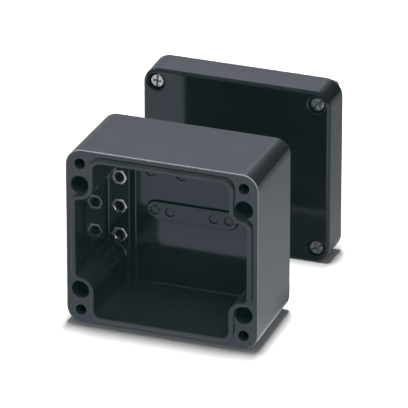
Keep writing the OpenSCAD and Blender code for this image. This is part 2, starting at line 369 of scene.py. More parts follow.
def paint_parting_edge(piece, m, plane_y, way):
    """Marks the trimmed edge: strongest halfway round the small radius at the parting plane."""
    scuff = piece.data.attributes.new("scuff", "FLOAT", "POINT")
    levels = []
    for vert in piece.data.vertices:
        x, y, z = vert.co / MM
        behind = min(max((y - plane_y) * way / m.rim_edge_r, 0.0), 1.0)
        outside = m.inset(x, z) < m.rim_edge_r + 0.1
        levels.append(math.sin(2 * math.acos(1 - behind)) if outside else 0.0)
    scuff.data.foreach_set("value", levels)


def paint_ledge_edges(piece, m):
    """Paints a pale line along the two edges of each ledge's slope: a painted highlight, in the same mark as the
    trimmed parting edge.
    """
    scuff = piece.data.attributes["scuff"]
    ledge = FloorRelief(m).ledge
    edges = (ledge[3][0], ledge[8][0])
    for vert, level in zip(piece.data.vertices, scuff.data):
        x, y, _ = vert.co / MM
        near_floor = -m.ledge_h - 0.5 < y - m.floor_y < 0.1
        if near_floor and min(abs(abs(x) - edge) for edge in edges) < 0.002:
            # A painted highlight line along the ledge's edge
            level.value = 0.2


def settle(piece):
    """Applies a piece's modifiers, so that a plain mesh is left."""
    depsgraph = bpy.context.evaluated_depsgraph_get()
    mesh = bpy.data.meshes.new_from_object(piece.evaluated_get(depsgraph), depsgraph=depsgraph)
    mesh.name = piece.name
    piece.modifiers.clear()
    piece.data = mesh
    return piece


def hand_over(piece, body, slot, *nodes):
    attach(piece, body)
    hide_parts(*nodes)


# Geometry Nodes

def set_inputs(modifier, values):
    """Sets a Geometry Nodes modifier's inputs by the names of their sockets."""
    for item in modifier.node_group.interface.items_tree:
        if item.item_type == "SOCKET" and item.in_out == "INPUT" and item.name in values:
            modifier[item.identifier] = values[item.name]


class Tree:
    """Adds nodes to a tree and links them."""

    def __init__(self, tree):
        self.tree = tree

    def node(self, kind, inputs=None, **settings):
        made = self.tree.nodes.new(kind)
        for key, value in settings.items():
            setattr(made, key, value)
        self.feed(made, inputs or {})
        return made

    def feed(self, node, inputs):
        """Links a node's inputs where a socket is given, and sets them otherwise."""
        for key, value in inputs.items():
            if isinstance(value, bpy.types.NodeSocket):
                self.tree.links.new(value, node.inputs[key])
            else:
                node.inputs[key].default_value = value

    def math(self, operation, first, second=0.0):
        return self.node("ShaderNodeMath", {0: first, 1: second}, operation=operation).outputs[0]

    def mix(self, share, first, second, blend="MIX"):
        """A mix of two colours."""
        inputs = {0: share, 6: first, 7: second}
        return self.node("ShaderNodeMix", inputs, data_type="RGBA", blend_type=blend).outputs[2]


def group(name, kind, inputs, outputs):
    """Makes a function that places nodes into one that gives their group, built at its first use.

    The function returns what goes to the outputs. Each socket is (name, kind), with a default where it has one.
    """
    def decorate(place):
        def get():
            if name in bpy.data.node_groups:
                return bpy.data.node_groups[name]
            tree = bpy.data.node_groups.new(name, kind)
            if kind == "GeometryNodeTree":
                tree.is_modifier = True
            for way, sockets in (("INPUT", inputs), ("OUTPUT", outputs)):
                for label, socket_kind, *default in sockets:
                    socket = tree.interface.new_socket(label, in_out=way, socket_type="NodeSocket" + socket_kind)
                    if default:
                        socket.default_value = default[0]
            t = Tree(tree)
            t.node("NodeGroupOutput", place(t, t.node("NodeGroupInput").outputs))
            return tree
        return get
    return decorate


GEOMETRY = ("Geometry", "Geometry")
SURFACE = (("Colour", "Color"), ("Roughness", "Float"), ("Height", "Float"))


def dressed(t, geometry, material):
    """The end of every Geometry Nodes tree: real meshes with a material."""
    plain = t.node("GeometryNodeRealizeInstances", {"Geometry": geometry})
    made = t.node("GeometryNodeSetMaterial", {"Geometry": plain.outputs[0], "Material": material})
    return {"Geometry": made.outputs[0]}


@group("Machine thread", "GeometryNodeTree", (
    GEOMETRY, ("Root Radius", "Float", 1.6 * MM), ("Ridge", "Float", 0.3 * MM), ("Pitch", "Float", 0.7 * MM),
    ("Length", "Float", 10 * MM), ("Inward", "Float", 1.0), ("Start", "Vector", (0, 0, 0)), ("Steps", "Int", 24),
    ("Material", "Material")), (GEOMETRY,))
def thread_tree(t, given):
    """A helical ridge about an axis from front to back, laid on the piece that comes in."""
    turns = t.math("DIVIDE", given["Length"], given["Pitch"])
    helix = t.node("GeometryNodeCurveSpiral", {
        "Resolution": given["Steps"], "Rotations": turns, "Start Radius": given["Root Radius"],
        "End Radius": given["Root Radius"], "Height": given["Length"]})
    upright = t.node("GeometryNodeSetCurveNormal", mode="Z_UP", inputs={"Curve": helix.outputs[0]})
    place = t.node("GeometryNodeSplineParameter").outputs["Factor"]
    fades = [t.node("ShaderNodeMapRange", interpolation_type="SMOOTHSTEP", inputs={
        "Value": place, "From Min": end, "From Max": full}).outputs[0] for end, full in ((0.0, 0.06), (1.0, 0.94))]
    size = t.math("MAXIMUM", t.math("MULTIPLY", *fades), 0.05)
    scaled = t.node("GeometryNodeSetCurveRadius", {"Curve": upright.outputs[0], "Radius": size})
    ridge = t.math("MULTIPLY", given["Ridge"], given["Inward"])
    sunk = t.math("MULTIPLY", ridge, -0.25)
    half = t.math("MULTIPLY", given["Pitch"], 0.46)
    tip = t.math("MULTIPLY", given["Pitch"], 0.08)
    corners = []
    for across, along in ((sunk, half), (ridge, tip), (ridge, None), (sunk, None)):
        height = along or t.math("MULTIPLY", half if across is sunk else tip, -1.0)
        corners.append(t.node("ShaderNodeCombineXYZ", {"X": across, "Y": height}).outputs[0])
    profile = t.node("GeometryNodeCurvePrimitiveQuadrilateral", mode="POINTS", inputs={
        "Point 1": corners[0], "Point 2": corners[1], "Point 3": corners[2], "Point 4": corners[3]})
    sweep = t.node("GeometryNodeCurveToMesh", {
        "Curve": scaled.outputs[0], "Profile Curve": profile.outputs[0], "Fill Caps": True})
    if "Scale" in sweep.inputs:
        t.feed(sweep, {"Scale": size})
    laid = t.node("GeometryNodeTransform", {
        "Geometry": sweep.outputs[0], "Translation": given["Start"], "Rotation": (-math.pi / 2, 0, 0)})
    both = t.node("GeometryNodeJoinGeometry", {0: laid.outputs[0]})
    t.feed(both, {0: given["Geometry"]})
    return dressed(t, both.outputs[0], given["Material"])


@group("Insert pattern", "GeometryNodeTree", (
    GEOMETRY, ("Part", "Object"), ("Spread X", "Float", 60 * MM), ("Pitch Z", "Float", 12.5 * MM), ("Rows", "Int", 3),
    ("Middle", "Vector", (0, 0, 0)), ("Material", "Material")), (GEOMETRY,))
def pattern_tree(t, given):
    """Copies of one part on the points of a pattern."""
    gaps = t.math("SUBTRACT", given["Rows"], 1.0)
    height = t.math("MULTIPLY", gaps, given["Pitch Z"])
    grid = t.node("GeometryNodeMeshGrid", {
        "Size X": given["Spread X"], "Size Y": height, "Vertices X": 2, "Vertices Y": given["Rows"]})
    upright = t.node("GeometryNodeTransform", {
        "Geometry": grid.outputs[0], "Translation": given["Middle"], "Rotation": (math.pi / 2, 0, 0)})
    part = t.node("GeometryNodeObjectInfo", {"Object": given["Part"]})
    copies = t.node("GeometryNodeInstanceOnPoints", {
        "Points": upright.outputs[0], "Instance": part.outputs["Geometry"]})
    return dressed(t, copies.outputs[0], given["Material"])


def lay_thread(piece, root_r, inward, start, length, material):
    """Lays a thread on a piece. Its start and length are in metres, the radius of its root in millimetres."""
    with_tree(piece, thread_tree(), {
        "Root Radius": root_r * MM, "Ridge": RIDGE_H * MM, "Pitch": bpy.context.scene.housing_sizes.thread_pitch,
        "Length": length, "Inward": inward, "Start": start, "Steps": 24, "Material": material})
    piece.data.set_sharp_from_angle(angle=CUT_SHARP_ANGLE)


def with_tree(piece, tree, values):
    """Runs a Geometry Nodes tree on a piece and leaves a plain mesh."""
    modifier = piece.modifiers.new(tree.name, "NODES")
    modifier.node_group = tree
    set_inputs(modifier, values)
    return settle(piece)


# Materials

@group("Moulded skin", "ShaderNodeTree", (
    ("Colour", "Color", (0.01, 0.01, 0.01, 1)), ("Flow Colour", "Color", (0.02, 0.02, 0.02, 1)),
    ("Flow Scale", "Float", 60.0), ("Grain Scale", "Float", 900.0), ("Gloss", "Float", 0.15),
    ("Gloss Change", "Float", 0.04)), SURFACE)
def skin_group(t, given):
    """Moulded plastic or rubber: a little flow colour, an uneven gloss and a fine skin."""
    place = t.node("ShaderNodeTexCoord").outputs["Object"]
    flow = t.node("ShaderNodeTexNoise", {
        "Vector": place, "Scale": given["Flow Scale"], "Detail": 3.0, "Roughness": 0.5, "Distortion": 0.6})
    grain = t.node("ShaderNodeTexNoise", {
        "Vector": place, "Scale": given["Grain Scale"], "Detail": 4.0, "Roughness": 0.6})
    flow_mask = t.node("ShaderNodeMapRange", {"Value": flow.outputs["Fac"], "From Min": 0.35, "From Max": 0.75})
    gloss = t.math("MULTIPLY", t.math("SUBTRACT", grain.outputs["Fac"], 0.5), given["Gloss Change"])
    gloss = t.math("ADD", gloss, given["Gloss"])
    gloss = t.math("ADD", gloss, t.math("MULTIPLY", flow_mask.outputs[0], given["Gloss Change"]))
    height = t.math("ADD", t.math("MULTIPLY", flow.outputs["Fac"], 0.7), t.math("MULTIPLY", grain.outputs["Fac"], 0.3))
    colour = t.mix(flow_mask.outputs[0], given["Colour"], given["Flow Colour"])
    return {"Colour": colour, "Roughness": gloss, "Height": height}


@group("Turned metal", "ShaderNodeTree", (
    ("Colour", "Color", (0.6, 0.6, 0.6, 1)), ("Dull Colour", "Color", (0.4, 0.4, 0.4, 1)),
    ("Streak Scale", "Float", 800.0), ("Gloss", "Float", 0.25)), SURFACE)
def metal_group(t, given):
    """Metal in bright and dull clouds, with fine streaks that run from front to back."""
    place = t.node("ShaderNodeTexCoord").outputs["Object"]
    drawn = t.node("ShaderNodeMapping", {"Vector": place, "Scale": (1.0, 0.12, 1.0)})
    streak = t.node("ShaderNodeTexNoise", {
        "Vector": drawn.outputs[0], "Scale": given["Streak Scale"], "Detail": 3.0, "Roughness": 0.6})
    cloud = t.node("ShaderNodeTexNoise", {"Vector": place, "Scale": 800.0, "Detail": 2.0})
    mask = t.node("ShaderNodeMapRange", {"Value": cloud.outputs["Fac"], "From Min": 0.4, "From Max": 0.7})
    colour = t.mix(mask.outputs[0], given["Colour"], given["Dull Colour"])
    gloss = t.math("ADD", given["Gloss"], t.math("MULTIPLY", streak.outputs["Fac"], 0.12))
    return {"Colour": colour, "Roughness": gloss, "Height": streak.outputs["Fac"]}


def new_material(name):
    """An empty material with a Principled shader, and a helper to build the rest."""
    material = bpy.data.materials.new(name)
    material.use_nodes = True
    material.node_tree.nodes.clear()
    t = Tree(material.node_tree)
    shader = t.node("ShaderNodeBsdfPrincipled")
    t.node("ShaderNodeOutputMaterial", {"Surface": shader.outputs[0]})
    return material, t, shader


def place_group(t, tree, values):
    return t.node("ShaderNodeGroup", values, node_tree=tree).outputs


def relief(t, height, strength, distance):
    """The normal of a fine relief, its distance in millimetres."""
    return t.node("ShaderNodeBump", {"Height": height, "Strength": strength, "Distance": distance * MM}).outputs[0]


def with_alpha(colour, gain=1.0):
    return (*(min(1.0, c * gain) for c in colour), 1.0)


def graded(t, value, stops):
    """A level that runs through the stops of (value, level)."""
    low, high = stops[0][0], stops[-1][0]
    share = t.node("ShaderNodeMapRange", {"Value": value, "From Min": low, "From Max": high})
    ramp = t.node("ShaderNodeValToRGB", {"Fac": share.outputs[0]})
    elements = ramp.color_ramp.elements
    elements.remove(elements[1])
    elements[0].position = 0.0
    elements[0].color = with_alpha([stops[0][1]] * 3)
    for place, level in stops[1:]:
        elements.new((place - low) / (high - low)).color = with_alpha([level] * 3)
    return ramp.outputs[0]


def moulding_material():
    """Glossy black moulded polyester, paler and matt where the flash was trimmed off its parting edge, with an even
    painted glow lifting its darkest parts and painted highlight lines along the ledges' edges.
    """
    name = "Moulded polyester"
    if name in bpy.data.materials:
        return bpy.data.materials[name]
    colours = bpy.context.scene.housing_colours
    material, t, shader = new_material(name)
    skin = place_group(t, skin_group(), {
        "Colour": with_alpha(colours.moulding), "Flow Colour": with_alpha(colours.moulding, 1.35),
        "Flow Scale": 90.0, "Grain Scale": 1400.0, "Gloss": 0.08, "Gloss Change": 0.02})
    # This pale matt mark is the real trim on the parting edge and painted highlight lines along the ledges' edges
    scuff = t.node("ShaderNodeAttribute", attribute_name="scuff").outputs["Fac"]
    place = t.node("ShaderNodeTexCoord").outputs["Object"]
    uneven = t.node("ShaderNodeTexNoise", {"Vector": place, "Scale": 700.0, "Detail": 3.0})
    patchy = t.node("ShaderNodeMapRange", {
        "Value": uneven.outputs["Fac"], "From Min": 0.25, "From Max": 0.6, "To Min": 0.75})
    trimmed = t.math("MULTIPLY", scuff, patchy.outputs[0])
    rough = t.node("ShaderNodeMix", {0: trimmed, 2: skin["Roughness"], 3: 0.5})
    # The emission is an even painted glow that lifts the darkest parts of the moulding as light would
    t.feed(shader, {
        "Base Color": t.mix(trimmed, skin["Colour"], with_alpha(colours.edge_scuff_and_sheen)), "Roughness": rough.outputs[0],
        "IOR": 1.55, "Specular Tint": (0.84, 0.90, 1.0, 1.0), "Emission Color": with_alpha(colours.painted_glow),
        "Emission Strength": 1.0, "Normal": relief(t, skin["Height"], 0.25, 0.003)})
    return material


# Colour, gain of its flow lines, scales of flow and grain, roughness and its change, strength and height of relief
PLASTICS = {
    "Seal rubber": ("seal", 1.5, 240.0, 2600.0, 0.62, 0.2, 0.6, 0.03),
    "Washer plastic": ("washer", 1.4, 300.0, 2000.0, 0.42, 0.1, 0.4, 0.01),
}


def plastic_material(name):
    if name in bpy.data.materials:
        return bpy.data.materials[name]
    key, gain, flow, grain, gloss, change, strength, height = PLASTICS[name]
    colour = getattr(bpy.context.scene.housing_colours, key)
    material, t, shader = new_material(name)
    skin = place_group(t, skin_group(), {
        "Colour": with_alpha(colour), "Flow Colour": with_alpha(colour, gain),
        "Flow Scale": flow, "Grain Scale": grain, "Gloss": gloss, "Gloss Change": change})
    t.feed(shader, {
        "Base Color": skin["Colour"], "Roughness": skin["Roughness"],
        "Normal": relief(t, skin["Height"], strength, height)})
    return material


# Colour, gain of its dull clouds, roughness, scale of the streaks, metallic
METALS = {
    "Stainless steel": ("steel", 0.42, 0.28, 1500.0, 0.9),
    "Nickel plate": ("nickel", 0.42, 0.20, 1800.0, 0.95),
    # Painted shade: nickel darkened for the corner inserts deep in their holes
    "Tarnished nickel": ("tarnish", 0.7, 0.4, 900.0, 0.9),
}


def metal_material(name):
    if name in bpy.data.materials:
        return bpy.data.materials[name]
    key, dull_gain, gloss, streaks, metallic = METALS[name]
    colour = getattr(bpy.context.scene.housing_colours, key)
    material, t, shader = new_material(name)
    metal = place_group(t, metal_group(), {
        "Colour": with_alpha(colour), "Dull Colour": with_alpha(colour, dull_gain),
        "Streak Scale": streaks, "Gloss": gloss})
    t.feed(shader, {
        "Base Color": metal["Colour"], "Roughness": metal["Roughness"], "Metallic": metallic,
        "Normal": relief(t, metal["Height"], 0.5, 0.01)})
    return material


# The housing's own outlines, in millimetres

class Measures:
    """Every size of the housing in millimetres, from the part boxes in model.glb and the panel's settings."""

    def __init__(self):
        s = bpy.context.scene.housing_sizes
        low, high = box_mm("base")
        lid_low, lid_high = box_mm("lid")
        for key in s.__annotations__:
            setattr(self, key, getattr(s, key) / MM)
        self.draft = s.draft
        self.half_w = (high.x - low.x) / 2
        self.half_h = (high.z - low.z) / 2
        self.mid_z = (high.z + low.z) / 2
        self.tongue_y = low.y
        self.rim_y = low.y + self.tongue_h
        self.back_y = high.y
        self.floor_y = high.y - self.floor_t
        self.face_y = lid_low.y
        self.lid_rim_y = lid_high.y
        self.screws = [sum(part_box(f"lid_screw_{i}"), Vector()) / 2 / MM for i in CORNERS]
        self.screw_x = max(c.x for c in self.screws)
        self.screw_z = max(c.z for c in self.screws) - self.mid_z
        self.wall_hole_z = self.screw_z - self.hole_drop
        self.bore_skin = 0.1
        self.boss_r = self.head_bore_d / 2 + self.bore_skin + self.tongue_w
        self.cavity_x = self.half_w - self.wall_t
        self.cavity_z = self.half_h - self.wall_t
        self.waist_x = self.screw_x - self.boss_r
        self.waist_z = self.wall_hole_z - self.boss_r
        self.cavity_r = 3.0
        self.nook_r = 1.6

    def holes(self, z):
        """The four places at height z from the middle, at the screws' distance from the sides."""
        return [(sx * self.screw_x, self.mid_z + sz * z) for sz in (1, -1) for sx in (-1, 1)]

    def outer(self, inset):
        points = rounded_box(self.half_w - inset, self.half_h - inset, self.corner_r - inset, 14)
        return [(x, z + self.mid_z) for x, z in points]

    def inset(self, x, z):
        """How far a point lies inside the outer outline."""
        across = abs(x) - (self.half_w - self.corner_r)
        along = abs(z - self.mid_z) - (self.half_h - self.corner_r)
        return self.corner_r - (math.hypot(across, along) if min(across, along) > 0 else max(across, along))

    def shell_profile(self, depth):
        """(inset, distance behind the parting plane) from the rim, over the edge and to the far face."""
        far_inset = (depth - self.far_edge_r) * math.tan(self.draft)
        far = [(far_inset + late, depth - early) for early, late in rounding(self.far_edge_r, 7)]
        return rounding(self.rim_edge_r, 5) + far

    def cavity(self, grow, cuts=()):
        """The cavity's outline, grown by some millimetres: arcs in its nooks, round its bosses and in its corners."""
        least = 0.5
        nook = max(self.nook_r + grow, least)
        side = max(self.cavity_x + grow, self.screw_x)
        boss = self.boss_r - grow
        corner = max(self.cavity_r + grow, least)
        away = math.degrees(math.asin(max(0.0, self.screw_x - (side - nook)) / boss))
        quadrant = arc((side - nook, self.waist_z + grow - nook), nook, 0, 90, 7)
        quadrant += arc((self.screw_x, self.wall_hole_z), boss, 270 - away, 180, 12)[1:]
        quadrant += arc((self.waist_x + grow - corner, self.cavity_z + grow - corner), corner, 0, 90, 9)
        right_top = quadrant
        left_top = [(-x, z) for x, z in reversed(quadrant)]
        left_low = [(-x, -z) for x, z in quadrant]
        right_low = [(x, -z) for x, z in reversed(quadrant)]
        points = [(x, z + self.mid_z) for x, z in right_top + left_top + left_low + right_low]
        for i, share in cuts:
            (ax, az), (bx, bz) = points[i], points[(i + 1) % len(points)]
            points.append((i + share, ax + (bx - ax) * share, az + (bz - az) * share))
        if cuts:
            count = len(points) - len(cuts)
            keyed = [(float(i), *p) for i, p in enumerate(points[:count])] + points[count:]
            points = [(x, z) for _, x, z in sorted(keyed)]
        return points


def crossings(outline, lines):
    """Where an outline crosses the lines at the given x, as (point before, share of the way to the next)."""
    found = []
    for i, (ax, _) in enumerate(outline):
        bx = outline[(i + 1) % len(outline)][0]
        for x in lines:
            if (ax - x) * (bx - x) < 0:
                found.append((i, (x - ax) / (bx - ax)))
    return found


def mouth(radius, depth_from, depth_to, edge, steps=3):
    """(radius, depth) over the rounded mouth of a hole that runs from one depth towards another."""
    way = 1 if depth_to > depth_from else -1
    return [(radius + early, depth_from + way * late) for early, late in rounding(edge, steps)]


def height_on(path, value):
    """The height at an across value on a path of (across, height) that runs from left to right."""
    for (a, low), (b, high) in zip(path, path[1:]):
        if a <= value <= b:
            return low + (high - low) * (value - a) / max(b - a, FINE)
    return path[0][1] if value < path[0][0] else path[-1][1]


def distance_to(outline, x, z):
    """The distance of a point from a closed outline."""
    best = math.inf
    for (ax, az), (bx, bz) in zip(outline, outline[1:] + outline[:1]):
        dx, dz = bx - ax, bz - az
        length = dx * dx + dz * dz
        share = 0.0 if length == 0 else max(0.0, min(1.0, ((x - ax) * dx + (z - az) * dz) / length))
        best = min(best, math.hypot(x - ax - dx * share, z - az - dz * share))
    return best


class FloorRelief:
    """The base's floor as heights over the flat: ledges, the pad, and the fillet along the walls."""

    foot_draft = 0.3
    fillet = 1.2
    ledge_foot = 0.9
    ledge_edge = 0.5
    pad_side = 0.3
    pad_foot = 0.2
    pad_edge = 0.3

    def __init__(self, m):
        self.m = m
        self.ledge = soften([(0, 0, 0), (m.ledge_x - m.ledge_h, 0, self.ledge_foot),
                             (m.ledge_x, m.ledge_h, self.ledge_edge), (m.half_w, m.ledge_h, 0)], steps=4)
        self.pad_half = (m.pad_l / 2, m.pad_w / 2)
        self.pad = soften([(-3, 0, 0), (0, 0, self.pad_foot), (self.pad_side, m.pad_h, self.pad_edge),
                           (3, m.pad_h, 0)], steps=3)
        self.wall_foot = m.cavity(-self.foot_draft)

    def ledge_lines(self):
        return [side * across for across, _ in self.ledge[1:-1] for side in (-1, 1)]

    def pad_rings(self):
        """(distance inside the pad's foot, outline)."""
        half_l, half_w = self.pad_half
        rings = []
        for across, _ in self.pad[1:-1]:
            outline = stadium(half_l - across, half_w - across, 12)
            rings.append([(x, z + self.m.mid_z) for x, z in outline])
        return rings

    def pad_share(self, x, z):
        """How far a point lies inside the pad's foot."""
        half_l, half_w = self.pad_half
        along = max(abs(x) - (half_l - half_w), 0)
        return half_w - math.hypot(along, z - self.m.mid_z)

    def flat_depth(self, x, z):
        return self.m.floor_y - height_on(self.ledge, abs(x)) - height_on(self.pad, self.pad_share(x, z))

    def depth(self, x, z):
        d = min(distance_to(self.wall_foot, x, z), self.fillet)
        rise = self.fillet - math.sqrt(max(0.0, self.fillet ** 2 - (self.fillet - d) ** 2))
        return self.flat_depth(x, z) - rise


# The pieces

def base_mesh(m):
    bm = bmesh.new()
    floor = FloorRelief(m)
    cuts = crossings(floor.wall_foot, floor.ledge_lines())
    floor.wall_foot = m.cavity(-floor.foot_draft, cuts)
    # Outside, from the rim to the back
    shell = m.shell_profile(m.back_y - m.rim_y)
    outside = wall(bm, [(m.outer(inset), m.rim_y + behind) for inset, behind in shell])
    # The tongue and the cavity wall
    outer_edge, inner_edge = 0.8, 0.4
    top = m.tongue_y
    tongue = [(m.tongue_w, m.rim_y)]
    tongue += [(m.tongue_w - late, top + early) for early, late in rounding(outer_edge, 5)]
    tongue += [(early, top + late) for early, late in rounding(inner_edge, 4)]
    levels = [(m.cavity(grow, cuts), y) for grow, y in tongue + [(0, m.rim_y)]]
    inside = wall(bm, levels + [(floor.wall_foot, floor.depth)])
    # The floor, with hexagonal pockets, blind holes and round marks
    pockets = []
    for name in LEDGE_INSERTS:
        low, high = box_mm(name)
        centre = ((low.x + high.x) / 2, (low.z + high.z) / 2)
        surface = m.floor_y - m.ledge_h
        gaps = ((0.12, surface), (0.03, surface + 0.08), (0.02, high.y))
        rows = wall(bm, [(hexagon(centre, (high.z - low.z) + 2 * gap), y) for gap, y in gaps])
        fill(bm, rows[-1])
        pockets.append(rows[0])
    pockets += [blind_hole(bm, (x, m.mid_z), m.floor_y - m.pad_h, **DIMPLE) for x in DIMPLE_X]
    pockets += [blind_hole(bm, (x, m.mid_z + MARK_UP), m.floor_y, **MARK) for x in MARK_X]
    creases = [[*points, points[0]] for points in floor.pad_rings()]
    for _, late in rounding(floor.fillet, 5)[1:]:
        line = m.cavity(-floor.foot_draft - late)
        creases.append([*line, line[0]])
    for x in floor.ledge_lines():
        ends = sorted(z for px, z in floor.wall_foot if abs(px - x) < FINE)
        creases.append([(x, ends[0]), (x, ends[-1])])
    fill(bm, inside[-1], pockets, creases, floor.depth)
    # The rim's land, with the corner holes and the head bores
    land = []
    low, high = box_mm("corner_insert_1")
    gap = 0.02
    insert_r = (high.x - low.x) / 2 + gap
    for x, z in m.holes(m.screw_z):
        profile = mouth(m.mouth_d / 2, m.rim_y, low.y, 0.1)
        profile += [(m.mouth_d / 2, low.y), (insert_r, low.y), (insert_r, high.y + gap)]
        rows = lathe(bm, (x, z), profile, 40)
        fill(bm, rows[-1])
        land.append(rows[0])
    back = []
    shoulder = m.back_y - m.wall_web_t
    bore, hole = m.head_bore_d / 2, m.wall_bore_d / 2
    root, root_middle, lead, back_lead = 0.4, 0.12, 0.25, 0.3
    for x, z in m.holes(m.wall_hole_z):
        profile = mouth(bore, m.rim_y, shoulder, 0.08, 2)
        profile += [(bore, shoulder - root), (bore - root_middle, shoulder - root_middle), (bore - root, shoulder)]
        profile += [(hole + lead, shoulder), (hole, shoulder + lead)]
        profile += [(hole, m.back_y - back_lead), (hole + back_lead, m.back_y)]
        rows = lathe(bm, (x, z), profile, 64)
        land.append(rows[0])
        back.append(rows[-1])
    fill(bm, outside[0], [inside[0], *land])
    fill(bm, outside[-1], back)
    return finish_mesh("base_moulding", bm)


def blind_hole(bm, centre, surface, radius, depth, edge):
    """A shallow round hole with a broken bottom edge, as the row at its mouth."""
    bottom = surface + depth
    profile = mouth(radius, surface, bottom, edge) + [(radius, bottom - edge), (radius - edge, bottom)]
    rows = lathe(bm, centre, profile, 36)
    fill(bm, rows[-1])
    return rows[0]


def lid_mesh(m):
    bm = bmesh.new()
    play, lip, soft, root = 0.25, 1.4, 0.25, 0.5
    rim, face = m.lid_rim_y, m.face_y
    outside = wall(bm, [(m.outer(inset), rim - before) for inset, before in m.shell_profile(rim - face)])
    # The groove for the tongue and the seal, the lip beside it, and the hollow
    seal_low = box_mm("lid_seal")[0].y
    edge = rounding(soft, 3)
    inner = -play - lip
    steps = [(m.tongue_w + play + early, rim - late) for early, late in edge]
    steps += [(m.tongue_w + play, seal_low), (-play, seal_low)]
    steps += [(-play - late, rim - early) for early, late in edge]
    steps += [(inner + early, rim - late) for early, late in edge]
    steps += [(inner - late, face + m.lid_t + early) for early, late in rounding(root, 4)]
    rows = wall(bm, [(m.cavity(grow), y) for grow, y in steps])
    fill(bm, rows[-1])
    fill(bm, outside[0], [rows[0]])
    fill(bm, outside[-1])
    return finish_mesh("lid_moulding", bm)


def lid_cutter(m):
    """The four screw holes of the lid, from the face through to the washers' pockets, as one cutter."""
    bm = bmesh.new()
    rim, face = m.lid_rim_y, m.face_y
    over, washer_play, root, lead = 1.0, 0.05, 0.3, 0.15
    seat, pocket = face + m.counterbore_depth, rim - m.pocket_depth
    bore, hole = m.counterbore_d / 2, m.screw_hole_d / 2
    wide = node_size("retaining_washer_1").x / MM / 2 + washer_play
    for x, z in m.holes(m.screw_z):
        rounded = mouth(bore, face, rim, 0.9, 8)
        profile = [(rounded[0][0], face - over)] + rounded
        profile += [(bore, seat - root), (bore - root, seat), (hole + lead, seat), (hole, seat + lead)]
        profile += [(hole, pocket), (wide, pocket)] + list(reversed(mouth(wide, rim, face, 0.2)))
        profile.append((profile[-1][0], rim + over))
        rows = lathe(bm, (x, z), profile, 64)
        fill(bm, rows[0])
        fill(bm, rows[-1])
    return finish_mesh("lid_cutter", bm)


def seal_mesh(m):
    """A band in the bottom of the groove, with a crowned top towards the tongue."""
    bm = bmesh.new()
    low, high = box_mm("lid_seal")
    outer = high.x - m.cavity_x
    inner, crown = -0.15, 0.55
    middle, half = (outer + inner) / 2, (outer - inner) / 2
    section = soften([(-half, low.y, 0), (-half, high.y, crown), (half, high.y, crown), (half, low.y, 0)], steps=5)
    rows = wall(bm, [(m.cavity(middle + across), y) for across, y in section])
    join(bm, rows[-1], rows[0])
    return finish_mesh("groove_seal", bm)


def screw_mesh(m, i):
    """A captive screw's head, waist and thread core, before its recess is cut and its thread is laid."""
    bm = bmesh.new()
    low, high = box_mm(f"lid_screw_{i}")
    centre = m.screws[i - 1]
    head_r, tip_r = (high.x - low.x) / 2, 1.1
    seat, rim = m.face_y + m.counterbore_depth, m.lid_rim_y
    profile = soften([
        (0, low.y, 0), (head_r, low.y, 0.35), (head_r, seat, 0.12), (WAIST_R, seat, 0.1),
        (WAIST_R, rim, 0.05), (CORE_R, rim + 0.12, 0.05), (CORE_R, high.y - TIP_L, 0.05),
        (tip_r, high.y, 0.05), (0, high.y, 0)], steps=3)
    rows = lathe(bm, (centre.x, centre.z), profile[1:-1], 48)
    fill(bm, rows[0])
    fill(bm, rows[-1])
    return finish_mesh(f"captive_screw_{i}", bm)


def recess_cutter(m, i, turn):
    """The slot across a screw's head and the cross in its middle, as one cutter."""
    low, _ = box_mm(f"lid_screw_{i}")
    bm = bmesh.new()
    over, narrowing = 1.0, 0.9
    # Half width, half height, depth and taper of the ends: the slot, then the two arms of the cross
    bars = [(0.45, 4.0, 1.1, 0.0), (1.9, 0.42, 1.6, 0.5), (0.42, 1.9, 1.6, 0.5)]
    for half_w, half_h, depth, taper in bars:
        reach_w = half_w - taper if half_w > half_h else half_w * narrowing
        reach_h = half_h - taper if half_h > half_w and taper else half_h
        rows = wall(bm, [([(w, -h), (w, h), (-w, h), (-w, -h)], y)
                         for w, h, y in ((half_w, half_h, -over), (reach_w, reach_h, depth))])
        for row in rows:
            bm.faces.new(row)
    place = m.screws[i - 1]
    bmesh.ops.rotate(bm, cent=(0, 0, 0), matrix=Matrix.Rotation(turn, 3, "Y"), verts=bm.verts)
    bmesh.ops.translate(bm, vec=(place.x, low.y, place.z), verts=bm.verts)
    return finish_mesh(f"recess_cutter_{i}", bm)


def cut(piece, cutter, broken_edge=0.0):
    """Takes the cutter out of a piece, and breaks the sharp edges that are left."""
    modifier = piece.modifiers.new("Recess", "BOOLEAN")
    modifier.operation = "DIFFERENCE"
    modifier.solver = "EXACT"
    modifier.use_self = True
    modifier.object = cutter
    if broken_edge:
        bevel = piece.modifiers.new("Broken edges", "BEVEL")
        bevel.width = broken_edge
        bevel.segments = 2
        bevel.limit_method = "ANGLE"
        bevel.angle_limit = math.radians(50)
    settle(piece)
    bpy.data.objects.remove(cutter)
    return piece


def washer_mesh(m, i):
    bm = bmesh.new()
    low, high = box_mm(f"retaining_washer_{i}")
    centre = m.screws[i - 1]
    outer, inner, edge = (high.x - low.x) / 2, 1.55, 0.2
    section = soften([(inner, low.y, 0), (outer, low.y, edge), (outer, high.y, edge), (inner, high.y, 0.15),
                      (inner, low.y, 0)], steps=3)
    rows = lathe(bm, (centre.x, centre.z), section[:-1], 48)
    join(bm, rows[-1], rows[0])
    return finish_mesh(f"screw_washer_{i}", bm)


